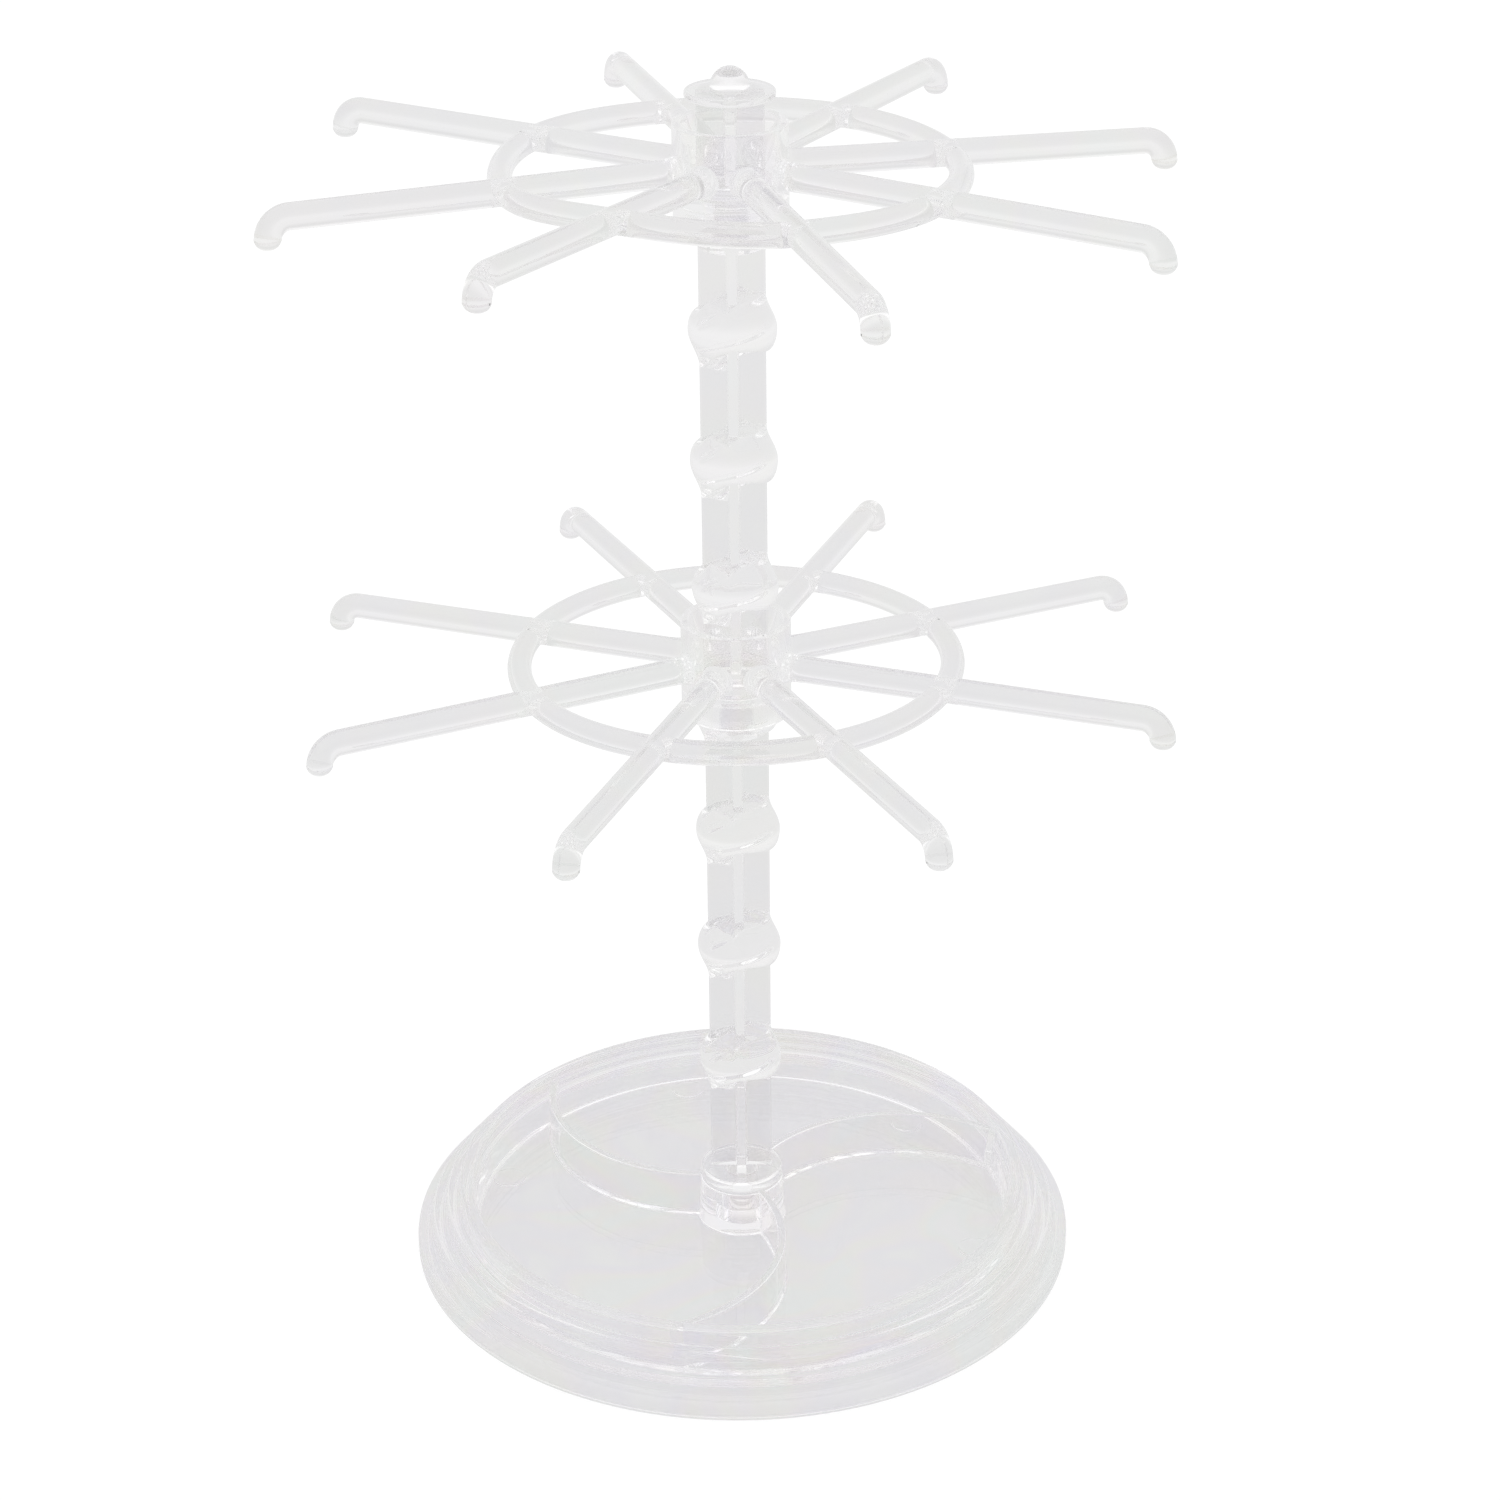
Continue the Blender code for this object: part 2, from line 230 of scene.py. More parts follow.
def spun(name, profile, sides, closed=False, first=None, last_at=None, centre=(0, 0)):
    """Spins a profile of (radius, height) points about a vertical line: all the way round, or from a first
    angle to the last one for each radius, with closed ends. An open profile starts and ends on the line."""
    whole = first is None
    if whole:
        first = math.pi / sides
    bm = bmesh.new()
    columns = []
    for step in range(sides + (0 if whole else 1)):
        column = []
        for radius, height in profile:
            sweep = 2 * math.pi if whole else last_at(radius) - first
            point = on_circle(radius, first + sweep * step / sides, height) + Vector((*centre, 0))
            column.append(bm.verts.new(point))
        columns.append(column)
    pairs = list(zip(columns, columns[1:]))
    if whole:
        pairs.append((columns[-1], columns[0]))
    rows = list(zip(range(len(profile)), range(1, len(profile))))
    if closed:
        rows.append((len(profile) - 1, 0))
    for here, there in pairs:
        for low, high in rows:
            bm.faces.new((here[low], there[low], there[high], here[high]))
    if not whole:
        bm.faces.new(columns[0])
        bm.faces.new(columns[-1])
    bmesh.ops.remove_doubles(bm, verts=bm.verts, dist=MM / 1000)
    return mesh_from(bm, name)


def prism(name, outline, bottom, top):
    bm = bmesh.new()
    rings = [[bm.verts.new((x, y, height)) for x, y in outline] for height in (bottom, top)]
    bridge(bm, rings)
    bm.faces.new(rings[0])
    bm.faces.new(rings[1])
    return mesh_from(bm, name)


def bridge(bm, rings):
    """Quads between each ring of corners and the next."""
    for below, above in zip(rings, rings[1:]):
        for here in range(len(below)):
            there = (here + 1) % len(below)
            bm.faces.new((below[here], below[there], above[there], above[here]))


def rod(name, path, sides):
    """A round rod along (place, direction, radius) steps that lie in the plane of X and Z."""
    bm = bmesh.new()
    rings = []
    across = Vector((0, 1, 0))
    for place, direction, radius in path:
        outward = across.cross(direction)
        angles = [2 * math.pi * (step + 0.5) / sides for step in range(sides)]
        ring = [place + radius * (math.cos(angle) * outward + math.sin(angle) * across) for angle in angles]
        rings.append([bm.verts.new(point) for point in ring])
    bridge(bm, rings)
    bm.faces.new(rings[0])
    bm.faces.new(rings[-1])
    return mesh_from(bm, name)


def add_object(name, mesh):
    obj = bpy.data.objects.new(name, mesh)
    bpy.context.scene.collection.objects.link(obj)
    return obj


def evaluated(obj):
    bpy.context.view_layer.update()
    graph = bpy.context.evaluated_depsgraph_get()
    return bpy.data.meshes.new_from_object(obj.evaluated_get(graph))


def settle(obj):
    """Bakes the object's modifiers into its mesh."""
    mesh = evaluated(obj)
    obj.modifiers.clear()
    obj.data = mesh
    mesh.name = obj.name


def joined(name, forms, cutter=None):
    """One closed piece from (mesh, height, turn) forms that overlap, less a cutter of the same kind."""
    group = bpy.data.collections.new(f"{name}_forms")
    bpy.context.scene.collection.children.link(group)
    piece = None
    helpers = []
    for number, (mesh, height, turn) in enumerate([*forms, cutter] if cutter else forms):
        form = bpy.data.objects.new(f"{name}_form_{number}", mesh.copy())
        form.data.transform(placed(height, turn))
        if piece is None:
            piece = add_object(name, form.data)
            continue
        home = bpy.context.scene.collection if number >= len(forms) else group
        home.objects.link(form)
        helpers.append(form)
    union = piece.modifiers.new("union", "BOOLEAN")
    union.operation, union.solver = "UNION", "EXACT"
    union.operand_type, union.collection = "COLLECTION", group
    if cutter:
        cut = piece.modifiers.new("cut", "BOOLEAN")
        cut.operation, cut.solver, cut.object = "DIFFERENCE", "EXACT", helpers[-1]
    settle(piece)
    for helper in helpers:
        bpy.data.objects.remove(helper, do_unlink=True)
    bpy.data.collections.remove(group)
    return piece


def placed(height, turn):
    return Matrix.Translation((0, 0, height)) @ Matrix.Rotation(turn, 4, "Z")


def polish(piece):
    """Smooth shading that keeps the flats flat and the real edges crisp."""
    piece.data.shade_smooth()
    piece.data.set_sharp_from_angle(angle=smooth_angle)
    weights = piece.modifiers.new("flat_faces", "WEIGHTED_NORMAL")
    weights.keep_sharp = True
    settle(piece)


# Tray

def tray_section():
    """The tray's section: out along its underside, up the stepped skirt, and in to the socket's bore."""
    drop = tray_height / tray_steps
    wall_back = compartment_radius + tray_wall
    floor_bottom = floor_top - floor_thickness
    corners = [(0, floor_bottom, 0), (wall_back, floor_bottom, 0)]
    corners.append((wall_back, tray_height - drop - tray_wall, back_round))
    for step in range(1, tray_steps):
        tread = tray_height - step * drop
        riser_back = rim_radius + step * tray_step_width - tray_wall
        lowest = step == tray_steps - 1
        corners.append((riser_back, tread - tray_wall, back_round))
        if lowest:
            corners.append((riser_back, 0, foot_round))
        else:
            corners.append((riser_back, tread - drop - tray_wall, back_round))
    for step in reversed(range(tray_steps)):
        tread = tray_height - step * drop
        riser = rim_radius + step * tray_step_width
        lowest = step == tray_steps - 1
        corners.append((riser, tread - drop, foot_round if lowest else step_fillet))
        corners.append((riser, tread, step_round))
    corners.append((compartment_radius + compartment_draft, tray_height, rim_round))
    corners.append((compartment_radius, floor_top, floor_fillet))
    corners.append((socket_radius, floor_top, step_fillet))
    corners.append((socket_radius - socket_draft, socket_top, step_fillet))
    corners.append((bore_radius, socket_top, bore_round))
    bore_bottom = lower_seat - plug_length - fixed_gap
    corners.append((bore_radius, bore_bottom, bore_round))
    corners.append((0, bore_bottom, 0))
    return eased(corners)


def divider():
    """One curved divider: its section swept along an arc, from inside the socket to inside the wall."""
    start = socket_radius - divider_root
    wall_middle = compartment_radius + (compartment_draft + tray_wall) / 2
    from_axis = math.hypot(start, divider_bend)
    facing = math.atan2(divider_bend, -start)

    def last_at(radius):
        reach = (wall_middle**2 - from_axis**2 - radius**2) / (2 * from_axis * radius)
        return facing + math.acos(reach)

    half = divider_thickness / 2
    top = tray_height - divider_drop
    root = floor_top - floor_thickness / 2
    flare = step_fillet
    section = [
        (divider_bend - half - flare, root, 0),
        (divider_bend - half - flare, floor_top, 0),
        (divider_bend - half, floor_top + flare, 0),
        (divider_bend - half, top, step_fillet),
        (divider_bend + half, top, step_fillet),
        (divider_bend + half, floor_top + flare, 0),
        (divider_bend + half + flare, floor_top, 0),
        (divider_bend + half + flare, root, 0),
    ]
    sweep = {"first": 1.5 * math.pi, "last_at": last_at, "centre": (-start, divider_bend)}
    return spun("divider", eased(section, closed=True), divider_slices, closed=True, **sweep)


def pin_mark(radius, degrees):
    """One low round disc on the tray's floor."""
    bottom, top = floor_top - pin_mark_sink, floor_top + pin_mark_rise
    corners = [(0, bottom, 0), (pin_mark_radius, bottom, 0)]
    corners += [(pin_mark_radius, top, pin_mark_round), (0, top, 0)]
    mark = spun("pin_mark", eased(corners), mark_sides)
    place = on_circle(radius, math.radians(degrees))
    for corner in mark.vertices:
        corner.co += place
    return mark


def make_tray():
    blade = divider()
    forms = [(spun("tray", tray_section(), tray_sides), 0, 0)]
    forms += [(blade, 0, 2 * math.pi * number / divider_count) for number in range(divider_count)]
    forms += [(pin_mark(radius, degrees), 0, 0) for radius, degrees in pin_mark_places]
    return joined("clear_tray", forms)


# Poles and cap

def lobe(angle, facing, power=3):
    return ((1 + math.cos(angle - facing)) / 2) ** power


def hump(angle, degrees, spread):
    """1 at an angle in degrees, falling away over its spread."""
    apart = math.remainder(math.degrees(angle) - degrees, 360)
    return math.exp(-((apart / spread) ** 2))


def knot_point(angle, share):
    """A point of a knot's surface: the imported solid's, with a notch, an arch and grooves added."""
    front, right, left = 1.5 * math.pi, 0.0, math.pi
    peak = knot_front_lift * lobe(angle, front, 2)
    lift = knot_front_lift * lobe(angle, front)
    above = knot_half_height + knot_tail * lobe(angle, right) + lift - peak
    below = knot_half_height + knot_tail * lobe(angle, left) - lift + peak
    tail = lobe(angle, right if share > 0 else left, 2)
    size = min(abs(share), 1)
    swelling = (1 - tail) * math.sqrt(1 - size**2) + tail * math.cos(math.pi / 2 * size) ** 2
    fin_reach = fin_span / 2
    radius = fin_reach + (knot_radius - fin_reach) * swelling
    past = max(abs(share) - 1, 0) / knot_underside
    radius -= (fin_reach - knot_core_radius) * math.sqrt(past)
    height = peak + share * (above if share > 0 else below)
    if share > 0:
        height += share * knot_arch[0] * hump(angle, *knot_arch[1:])
        height -= share * knot_notch[0] * hump(angle, *knot_notch[1:])
    degrees = math.degrees(angle) % 360
    for start, start_height, end, end_height in knot_grooves:
        along = (degrees - start) / (end - start)
        middle = start_height + (end_height - start_height) * along
        inside = min(max(min(degrees - start, end - degrees) / groove_fade, 0), 1)
        radius -= inside * swelling * groove_depth * math.exp(-(((height - middle) / groove_width) ** 2))
    return on_circle(radius, angle, height)


def knot():
    half = [math.sin(math.pi / 2 * row / knot_rows) for row in range(1, knot_rows + 1)]
    half += [1 + knot_underside * row / underside_rows for row in range(1, underside_rows + 1)]
    shares = [-share for share in reversed(half)] + [0] + half
    angles = [2 * math.pi * (step + 0.5) / knot_sides for step in range(knot_sides)]
    bm = bmesh.new()
    rings = [[bm.verts.new(knot_point(angle, share)) for angle in angles] for share in shares]
    bridge(bm, rings)
    for ring in (rings[0], rings[-1]):
        middle = bm.verts.new((0, 0, sum(corner.co.z for corner in ring) / len(ring)))
        for here in range(len(ring)):
            bm.faces.new((ring[here], ring[(here + 1) % len(ring)], middle))
    return mesh_from(bm, "knot")


def foot():
    corners = [(0, -plug_length, 0), (plug_radius, -plug_length, plug_round), (plug_radius, 0, bore_round)]
    corners += [(collar_radius, 0, collar_round), (collar_radius, collar_thickness, collar_round)]
    corners.append((0, collar_thickness, 0))
    return spun("foot", eased(corners), pole_sides)


def cross():
    half_span, half_fin = fin_span / 2, fin_thickness / 2
    quarter = [(half_span, -half_fin, fin_round), (half_span, half_fin, fin_round)]
    quarter.append((half_fin, half_fin, fin_fillet))
    corners = []
    for turn in range(4):
        cosine, sine = round(math.cos(turn * math.pi / 2)), round(math.sin(turn * math.pi / 2))
        corners += [(x * cosine - y * sine, x * sine + y * cosine, ease) for x, y, ease in quarter]
    return eased(corners, closed=True)


def head(length, bore_bottom):
    boss_bottom = bore_bottom - head_boss_floor
    head_bottom = length - head_thickness
    corners = [(0, boss_bottom, 0), (head_boss_radius, boss_bottom, step_fillet)]
    corners.append((head_boss_radius, head_bottom, step_fillet))
    corners += [(head_radius, head_bottom, collar_round), (head_radius, length, collar_round)]
    corners.append((0, length, 0))
    return spun("head", eased(corners), pole_sides)


def make_pole(name, seat, tier_height, knot_heights):
    length = pole_top(tier_height) - seat
    bore_bottom = seat_above(tier_height) - plug_length - fixed_gap - seat
    fins = prism("fins", cross(), collar_thickness / 2, bore_bottom - head_boss_floor / 2)
    swelling = knot()
    forms = [(foot(), seat, 0), (fins, seat, 0), (head(length, bore_bottom), seat, 0)]
    forms += [(swelling, height, 0) for height in knot_heights]
    clear_above = length + 2 * knot_half_height
    corners = [(0, bore_bottom, 0), (bore_radius, bore_bottom, 0), (bore_radius, length - bore_round, 0)]
    corners += [(bore_radius + bore_round, length, 0), (hub_radius, length, 0)]
    corners += [(hub_radius, clear_above, 0), (0, clear_above, 0)]
    bore = spun("bore", eased(corners), pole_sides)
    return joined(name, forms, cutter=(bore, seat, 0))


def make_cap():
    seat = seat_above(upper_tier_height)
    bottom = upper_tier_height + hub_rise + flange_lift - seat
    top = bottom + flange_thickness
    stem = prism("stem", cross(), collar_thickness / 2, bottom + flange_thickness / 2)
    corners = [(0, bottom, 0), (flange_radius, bottom, flange_round), (flange_radius, top, flange_round)]
    corners.append((dome_radius, top, bore_round))
    profile = eased([*corners, (dome_radius, top + dome_lift, 0)])[:-1]
    for step in range(dome_slices + 1):
        angle = math.pi / 2 * step / dome_slices
        height = top + dome_lift + dome_radius * math.sin(angle)
        profile.append((dome_radius * math.cos(angle), height))
    flange = spun("flange", profile, pole_sides)
    return joined("cap_with_knob", [(foot(), seat, 0), (stem, seat, 0), (flange, seat, 0)])


# Carousels

def hub():
    inside = hub_radius - hub_wall
    web_hole = plug_radius + bearing_gap
    web_bottom = -web_depth - web_thickness
    corners = [(inside, -hub_skirt, hub_round), (hub_radius, -hub_skirt, hub_round)]
    corners += [(hub_radius, hub_rise, hub_round), (inside, hub_rise, hub_round)]
    corners += [(inside, -web_depth, hub_round), (web_hole, -web_depth, bore_round)]
    corners += [(web_hole, web_bottom, bore_round), (inside, web_bottom, hub_round)]
    return spun("hub", eased(corners, closed=True), hub_sides, closed=True)


def ring():
    angles = [2 * math.pi * (step + 0.5) / tube_sides for step in range(tube_sides)]
    circle = [(ring_radius + ring_tube * math.cos(a), ring_tube * math.sin(a)) for a in angles]
    return spun("ring", circle, ring_sides, closed=True)


def arm_radius_at(x):
    tapered = arm_radius * (1 + arm_taper / 2 - arm_taper * (x - arm_start) / (arm_reach - arm_start))
    return tapered + arm_root_flare * math.exp(-max(x - hub_radius, 0) / arm_flare_length)


def arm():
    """One arm along +X from inside the hub's wall, flared where it leaves the hub, down into its hook."""
    bend_start = arm_reach - hook_bend
    out, down = Vector((1, 0, 0)), Vector((0, 0, -1))
    path = []
    for step in range(straight_slices + 1):
        x = arm_start + (bend_start - arm_start) * (step / straight_slices) ** 2
        path.append((Vector((x, 0, 0)), out, arm_radius_at(x)))
    for step in range(1, bend_slices + 1):
        angle = math.pi / 2 * step / bend_slices
        direction = math.cos(angle) * out + math.sin(angle) * down
        place = Vector((bend_start + hook_bend * math.sin(angle), 0, hook_bend * (math.cos(angle) - 1)))
        path.append((place, direction, arm_radius_at(place.x)))
    tip = arm_radius_at(arm_reach)
    for step in range(tip_slices + 1):
        angle = math.pi / 2 * step / tip_slices
        height = arm_tip_round * (1 - math.sin(angle)) - hook_drop
        path.append((Vector((arm_reach, 0, height)), down, tip - arm_tip_round * (1 - math.cos(angle))))
    return rod("arm", path, tube_sides)


def warped(mesh, height, turn, tips):
    """Lifts each arm's tip by its number of millimetres, and all that lies between smoothly with it."""
    pitch = 2 * math.pi / arm_count
    for corner in mesh.vertices:
        out = math.hypot(corner.co.x, corner.co.y)
        place = (math.atan2(corner.co.y, corner.co.x) - turn) / pitch % arm_count
        before = int(place)
        share = place - before
        ease = share * share * (3 - 2 * share)
        lift = tips[before % arm_count] * (1 - ease) + tips[(before + 1) % arm_count] * ease
        corner.co.z += lift * MM * max(out - hub_radius, 0) / (arm_reach - hub_radius)


def make_carousel(name, height, degrees, tips):
    turn = math.radians(degrees)
    one_arm = arm()
    forms = [(hub(), height, turn), (ring(), height, turn)]
    for number in range(arm_count):
        angle = turn - 2 * math.pi * number / arm_count
        forms.append((one_arm, height, angle))
    carousel = joined(name, forms)
    warped(carousel.data, height, turn, [tips[-number % arm_count] for number in range(arm_count)])
    return carousel


# Materials

plastic_ior = 1.49
shadow_tint = colour(0.90, 0.90, 0.92)
stress_detail = 1.0
stress_swirl = 1.5
stress_stops = (
    (0.30, grey(1.0)),
    (0.42, colour(0.93, 0.90, 1.0)),
    (0.50, colour(1.0, 0.92, 0.96)),
    (0.56, colour(1.0, 0.98, 0.88)),
    (0.63, colour(0.93, 1.0, 0.95)),
    (0.74, grey(1.0)),
)
scratch_width = 0.012
scratch_turn = (0.3, 0.2, 0.7)
scratch_stretch = (1.0, 0.12, 1.0)
scratched_patches = (0.55, 0.68)
ripple_strength = 0.03
ripple_depth = 0.1 * MM


def new_group(name, inputs, outputs):
    group = bpy.data.node_groups.new(name, "ShaderNodeTree")
    for label, kind, value in inputs:
        socket = group.interface.new_socket(label, in_out="INPUT", socket_type=kind)
        socket.default_value = value
    for label, kind in outputs:
        group.interface.new_socket(label, in_out="OUTPUT", socket_type=kind)
    enter = group.nodes.new("NodeGroupInput")
    leave = group.nodes.new("NodeGroupOutput")
    return group, enter.outputs, leave.inputs


def node(tree, kind, links=(), **settings):
    """A new node with its settings, and with the sockets named in links set or connected."""
    made = tree.nodes.new(kind)
    for label, value in settings.items():
        setattr(made, label, value)
    for label, value in links:
        if isinstance(value, bpy.types.NodeSocket):
            tree.links.new(value, made.inputs[label])
        else:
            made.inputs[label].default_value = value
    return made


def maths(tree, operation, first, second):
    return node(tree, "ShaderNodeMath", [(0, first), (1, second)], operation=operation).outputs["Value"]


def mixed(tree, share, first, second, blend_type="MIX"):
    """Two colours mixed by a share. They are the node's inputs 6 and 7, and the result is its output 2."""
    links = [(0, share), (6, first), (7, second)]
    return node(tree, "ShaderNodeMix", links, data_type="RGBA", blend_type=blend_type).outputs[2]


def ranged(tree, value, span, ends, **settings):
    """A value mapped from a span to its two ends, and held at them outside the span."""
    links = [("Value", value), ("From Min", span[0]), ("From Max", span[1])]
    links += [("To Min", ends[0]), ("To Max", ends[1])]
    return node(tree, "ShaderNodeMapRange", links, **settings).outputs["Result"]


def object_place(tree):
    return node(tree, "ShaderNodeTexCoord").outputs["Object"]


def flow_tint_and_painted_light_group():
    """The faint colour of the moulded plastic: two tints in slow drifts, with soft stress colours, a lighter
    tint as painted light towards one end of a range of distances from the axis, lifting the shade of stacked
    layers and the shadowed floor beneath, and tiny clear specks."""
    inputs = [
        ("Tint", "NodeSocketColor", grey(1)),
        ("Drift Tint", "NodeSocketColor", grey(1)),
        ("Painted Light Tint", "NodeSocketColor", grey(1)),
        ("Painted Light From", "NodeSocketFloat", 0.1),
        ("Painted Light To", "NodeSocketFloat", 0.2),
        ("Drift Scale", "NodeSocketFloat", 20.0),
        ("Stress Scale", "NodeSocketFloat", 30.0),
        ("Stress Colour", "NodeSocketFloat", 0.1),
        ("Speck Scale", "NodeSocketFloat", 350.0),
        ("Speck Size", "NodeSocketFloat", 0.0),
    ]
    group, given, out = new_group("flow_tint_and_painted_light", inputs, [("Color", "NodeSocketColor")])
    place = object_place(group)
    drift = node(group, "ShaderNodeTexNoise", [("Vector", place), ("Scale", given["Drift Scale"])])
    tint = mixed(group, drift.outputs["Fac"], given["Tint"], given["Drift Tint"])
    # Painted light: over a range of distances from the axis the tint turns lighter, to lift the shade that
    # stacked layers of plastic and the shadowed floor beneath leave there.
    flat = node(group, "ShaderNodeVectorMath", [(0, place), (1, (1, 1, 0))], operation="MULTIPLY")
    from_axis = node(group, "ShaderNodeVectorMath", [(0, flat.outputs["Vector"])], operation="LENGTH")
    span = (given["Painted Light From"], given["Painted Light To"])
    painted_light_share = ranged(group, from_axis.outputs["Value"], span, (0.0, 1.0))
    with_painted_light = mixed(group, painted_light_share, tint, given["Painted Light Tint"])
    stress = node(group, "ShaderNodeTexNoise", [("Vector", place), ("Scale", given["Stress Scale"])])
    stress.inputs["Detail"].default_value = stress_detail
    stress.inputs["Distortion"].default_value = stress_swirl
    bands = node(group, "ShaderNodeValToRGB", [("Fac", stress.outputs["Fac"])])
    ramp = bands.color_ramp
    ramp.interpolation = "EASE"
    for number, (position, shade) in enumerate(stress_stops):
        stop = ramp.elements[number] if number < 2 else ramp.elements.new(position)
        stop.position = position
        stop.color = shade
    stressed = mixed(group, given["Stress Colour"], with_painted_light, bands.outputs["Color"], "MULTIPLY")
    cells = node(group, "ShaderNodeTexVoronoi", [("Vector", place), ("Scale", given["Speck Scale"])])
    few = node(group, "ShaderNodeSeparateColor", [("Color", cells.outputs["Color"])])
    size = maths(group, "MULTIPLY", few.outputs["Red"], given["Speck Size"])
    speck = maths(group, "LESS_THAN", cells.outputs["Distance"], size)
    group.links.new(mixed(group, speck, stressed, grey(1)), out["Color"])
    return group


def polish_wear_group():
    """What handling leaves on the polish: patches of fine scratches, and the mould's slight waviness."""
    inputs = [
        ("Patch Scale", "NodeSocketFloat", 60.0),
        ("Scratch Scale", "NodeSocketFloat", 120.0),
        ("Scratches", "NodeSocketFloat", 0.3),
        ("Wave Scale", "NodeSocketFloat", 90.0),
    ]
    outputs = [("Roughness", "NodeSocketFloat"), ("Height", "NodeSocketFloat")]
    group, given, out = new_group("polish_wear", inputs, outputs)
    place = object_place(group)
    patches = node(group, "ShaderNodeTexNoise", [("Vector", place), ("Scale", given["Patch Scale"])])
    sparse = ranged(group, patches.outputs["Fac"], scratched_patches, (0.0, 1.0))
    bent = node(group, "ShaderNodeMapping", [("Vector", place)])
    bent.inputs["Rotation"].default_value = scratch_turn
    bent.inputs["Scale"].default_value = scratch_stretch
    links = [("Vector", bent.outputs["Vector"]), ("Scale", given["Scratch Scale"])]
    cells = node(group, "ShaderNodeTexVoronoi", links, feature="DISTANCE_TO_EDGE")
    lines = ranged(group, cells.outputs["Distance"], (0.0, scratch_width), (1.0, 0.0))
    scratches = maths(group, "MULTIPLY", maths(group, "MULTIPLY", lines, sparse), given["Scratches"])
    wave = node(group, "ShaderNodeTexNoise", [("Vector", place), ("Scale", given["Wave Scale"])])
    wave.inputs["Detail"].default_value = 0.0
    group.links.new(scratches, out["Roughness"])
    group.links.new(maths(group, "SUBTRACT", wave.outputs["Fac"], scratches), out["Height"])
    return group


def clear_plastic(name, tint, scratches):
    """Polished clear plastic that casts only a pale shadow on the floor."""
    material = bpy.data.materials.new(name)
    material.use_nodes = True
    tree = material.node_tree
    shader = tree.nodes["Principled BSDF"]
    tints = node(tree, "ShaderNodeGroup", tint.items(), node_tree=flow_tint_and_painted_light)
    wear = node(tree, "ShaderNodeGroup", [("Scratches", scratches)], node_tree=polish_wear)
    ripple = node(tree, "ShaderNodeBump", [("Height", wear.outputs["Height"])])
    ripple.inputs["Strength"].default_value = ripple_strength
    ripple.inputs["Distance"].default_value = ripple_depth
    tree.links.new(tints.outputs["Color"], shader.inputs["Base Color"])
    tree.links.new(wear.outputs["Roughness"], shader.inputs["Roughness"])
    tree.links.new(ripple.outputs["Normal"], shader.inputs["Normal"])
    shader.inputs["Metallic"].default_value = 0.0
    shader.inputs["IOR"].default_value = plastic_ior
    shader.inputs["Transmission Weight"].default_value = 1.0
    through = node(tree, "ShaderNodeBsdfTransparent", [("Color", shadow_tint)])
    path = node(tree, "ShaderNodeLightPath")
    blend = node(tree, "ShaderNodeMixShader")
    tree.links.new(path.outputs["Is Shadow Ray"], blend.inputs[0])
    tree.links.new(shader.outputs[0], blend.inputs[1])
    tree.links.new(through.outputs[0], blend.inputs[2])
    tree.links.new(blend.outputs[0], tree.nodes["Material Output"].inputs["Surface"])
    return material


# Scene

camera_distance = 0.76805
camera_elevation = 25.715
camera_roll = -0.533
camera_target = Vector((0.002844, 0, 0.124446))
camera_sensor = 36
focal_length_in_pixels = 3484.35
photo_width_in_pixels = 1500
room_light = 1.0
white_to_camera = 1.0
walls_seen_in_plastic = 0.79
ceiling_seen_in_plastic = 1.12
walls_end = 0.3
ceiling_starts = 0.9
horizon_lift = 0.1
horizon_top = 0.05
horizon_end = 0.35
floor_radius = 4.0
floor_sides = 64
floor_shade = 0.2
floor_roughness = 0.9
floor_glow = 0.85
near_glow_in_plastic = 0.62
far_glow_in_plastic = 0.7
glow_from = 0.3
glow_to = 1.3
light_bounces = 250


def seen_strength(tree, direct, in_plastic, lit):
    """One strength for the camera's own sight, one for gloss and plastic, and one for what it lights."""
    path = node(tree, "ShaderNodeLightPath").outputs
    either = maths(tree, "MAXIMUM", path["Is Glossy Ray"], path["Is Transmission Ray"])
    through = ranged(tree, either, (0.0, 1.0), (lit, in_plastic))
    return ranged(tree, path["Is Camera Ray"], (0.0, 1.0), (through, direct))


def white_world():
    world = bpy.data.worlds.new("white_room")
    world.use_nodes = True
    tree = world.node_tree
    background = tree.nodes["Background"]
    background.inputs["Color"].default_value = grey(1)
    direction = node(tree, "ShaderNodeTexCoord").outputs["Generated"]
    upward = node(tree, "ShaderNodeSeparateXYZ", [("Vector", direction)]).outputs["Z"]
    levels = (walls_seen_in_plastic, ceiling_seen_in_plastic)
    room = ranged(tree, upward, (walls_end, ceiling_starts), levels, interpolation_type="SMOOTHSTEP")
    span = (horizon_top, horizon_end)
    horizon = ranged(tree, upward, span, (horizon_lift, 0.0), interpolation_type="SMOOTHSTEP")
    strength = seen_strength(tree, white_to_camera, maths(tree, "ADD", room, horizon), room_light)
    tree.links.new(strength, background.inputs["Strength"])
    bpy.context.scene.world = world


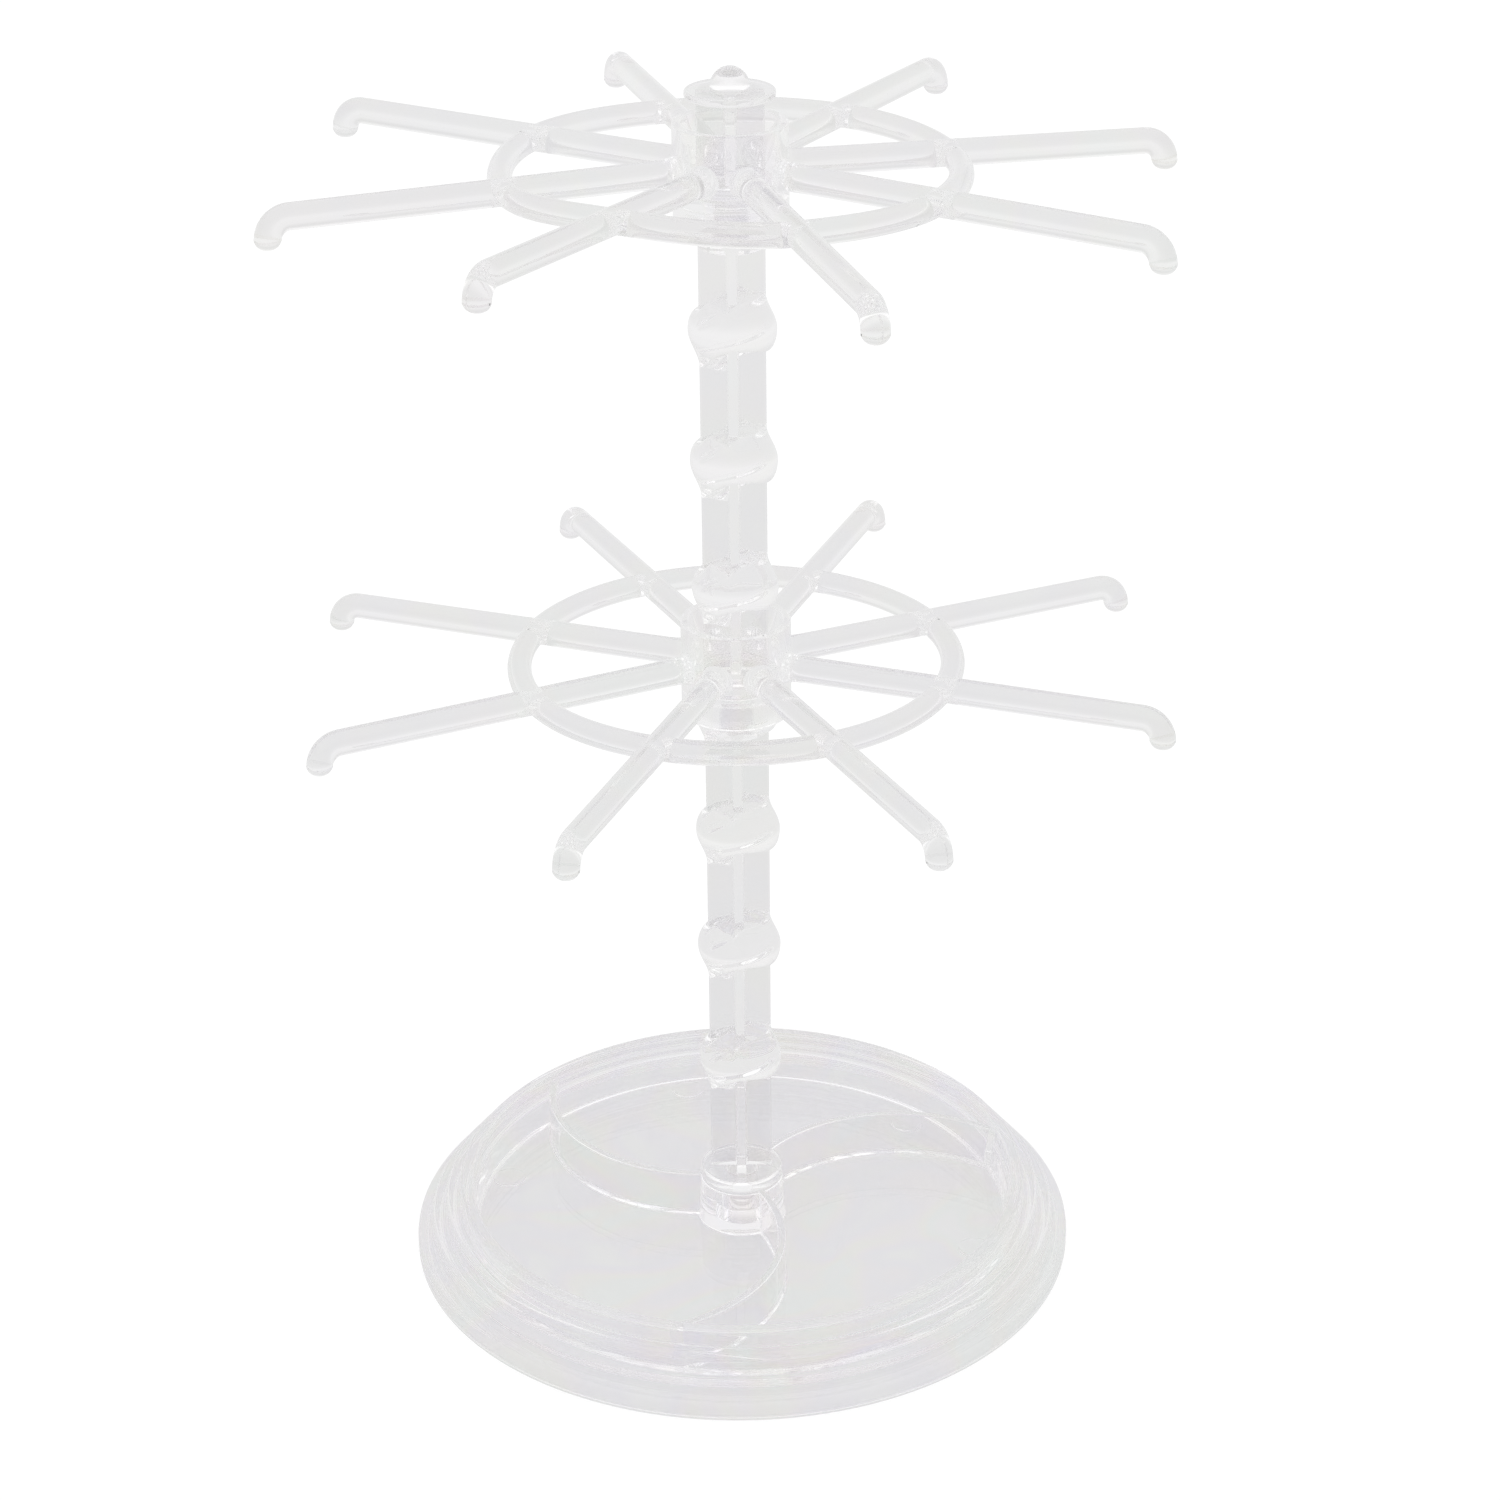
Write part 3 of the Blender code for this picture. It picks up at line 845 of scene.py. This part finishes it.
def pale_floor():
    bm = bmesh.new()
    bmesh.ops.create_circle(bm, cap_ends=True, segments=floor_sides, radius=floor_radius)
    floor = add_object("pale_floor", mesh_from(bm, "pale_floor"))
    material = bpy.data.materials.new("matt_white_table")
    material.use_nodes = True
    tree = material.node_tree
    shader = tree.nodes["Principled BSDF"]
    shader.inputs["Base Color"].default_value = grey(floor_shade)
    shader.inputs["Roughness"].default_value = floor_roughness
    shader.inputs["Specular IOR Level"].default_value = 0.0
    from_axis = node(tree, "ShaderNodeVectorMath", [(0, object_place(tree))], operation="LENGTH")
    levels = (near_glow_in_plastic, far_glow_in_plastic)
    away = from_axis.outputs["Value"]
    glow_in_plastic = ranged(tree, away, (glow_from, glow_to), levels, interpolation_type="SMOOTHSTEP")
    strength = seen_strength(tree, floor_glow, glow_in_plastic, 0.0)
    glow = node(tree, "ShaderNodeEmission", [("Strength", strength)])
    both = node(tree, "ShaderNodeAddShader")
    tree.links.new(shader.outputs[0], both.inputs[0])
    tree.links.new(glow.outputs[0], both.inputs[1])
    tree.links.new(both.outputs[0], tree.nodes["Material Output"].inputs["Surface"])
    floor.data.materials.append(material)


def photo_camera():
    """The camera of the photograph, for a square picture."""
    elevation, roll = math.radians(camera_elevation), math.radians(camera_roll)
    back = Vector((0, -math.cos(elevation), math.sin(elevation)))
    right = Vector((1, 0, 0))
    up = back.cross(right)
    across = right * math.cos(roll) + up * math.sin(roll)
    upward = back.cross(across)
    data = bpy.data.cameras.new("photo_camera")
    data.sensor_width = camera_sensor
    data.lens = focal_length_in_pixels / photo_width_in_pixels * camera_sensor
    camera = add_object("photo_camera", data)
    axes = (across, upward, back, camera_target + back * camera_distance)
    camera.matrix_world = Matrix([[axis[row] for axis in axes] for row in range(3)] + [[0, 0, 0, 1]])
    bpy.context.scene.camera = camera


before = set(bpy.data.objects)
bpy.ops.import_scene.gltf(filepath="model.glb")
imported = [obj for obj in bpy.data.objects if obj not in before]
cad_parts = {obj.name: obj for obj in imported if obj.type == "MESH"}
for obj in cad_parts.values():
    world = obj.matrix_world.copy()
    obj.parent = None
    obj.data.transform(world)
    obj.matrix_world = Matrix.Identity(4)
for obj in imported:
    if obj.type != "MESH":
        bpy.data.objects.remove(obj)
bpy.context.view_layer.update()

photo_camera()
white_world()
pale_floor()

flow_tint_and_painted_light = flow_tint_and_painted_light_group()
polish_wear = polish_wear_group()

# Painted shade and light: the pieces are one clear plastic, but each gets its own greys, set darker or
# lighter to the shade that piece shows, and each lifts to a lighter tint as painted light over its own
# range: the tray's rim and skirt, the poles' knots, collars and heads, the cap's flange, and the carousels'
# hubs.
tray_tint = {
    "Tint": grey(0.97),
    "Drift Tint": grey(0.99),
    "Stress Colour": 0.25,
    "Painted Light Tint": colour(0.986, 0.986, 0.989),
    "Painted Light From": 61 * MM,
    "Painted Light To": 64 * MM,
    "Speck Size": 0.10,
}
pole_tint = {
    "Tint": grey(0.93),
    "Drift Tint": grey(0.95),
    "Stress Colour": 0.12,
    "Painted Light Tint": grey(0.985),
    "Painted Light From": 6.6 * MM,
    "Painted Light To": 6.95 * MM,
}
cap_tint = pole_tint | {"Tint": grey(0.90), "Drift Tint": grey(0.92), "Painted Light Tint": grey(0.97)}
arm_tint = {
    "Tint": grey(0.95),
    "Drift Tint": grey(0.97),
    "Stress Colour": 0.15,
    "Painted Light Tint": grey(1),
    "Painted Light From": 14 * MM,
    "Painted Light To": 12 * MM,
}
tray_scratches = 0.3
rod_scratches = 0.1
tray_plastic = clear_plastic("tray_clear_plastic", tray_tint, tray_scratches)
pole_plastic = clear_plastic("pole_clear_plastic", pole_tint, rod_scratches)
carousel_plastic = clear_plastic("carousel_clear_plastic", arm_tint, rod_scratches)
cap_plastic = clear_plastic("cap_clear_plastic", cap_tint, rod_scratches)

heights = [knot_first_height + knot_pitch * number for number in range(lower_knots + upper_knots)]
upper_seat = seat_above(lower_tier_height)
pieces = [
    (make_tray(), "stand", "base_tray", tray_plastic),
    (make_pole("lower_knotted_pole", lower_seat, lower_tier_height, heights[:lower_knots]),
     "stand", "lower_pole", pole_plastic),
    (make_pole("upper_knotted_pole", upper_seat, upper_tier_height, heights[lower_knots:]),
     "stand", "upper_pole", pole_plastic),
    (make_carousel("lower_hooked_carousel", lower_tier_height, lower_tier_turn, lower_arm_warp),
     "lower_tier", "lower_carousel", carousel_plastic),
    (make_carousel("upper_hooked_carousel", upper_tier_height, upper_tier_turn, upper_arm_warp),
     "upper_tier", "upper_carousel", carousel_plastic),
    (make_cap(), "stand", "top_cap", cap_plastic),
]
for piece, body, cad_node, plastic in pieces:
    piece.data.materials.clear()
    piece.data.materials.append(plastic)
    polish(piece)
    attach(piece, body)
    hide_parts(cad_node)

scene = bpy.context.scene
scene.view_settings.view_transform = "Standard"
scene.cycles.max_bounces = light_bounces
scene.cycles.glossy_bounces = light_bounces
scene.cycles.transmission_bounces = light_bounces
scene.cycles.transparent_max_bounces = light_bounces
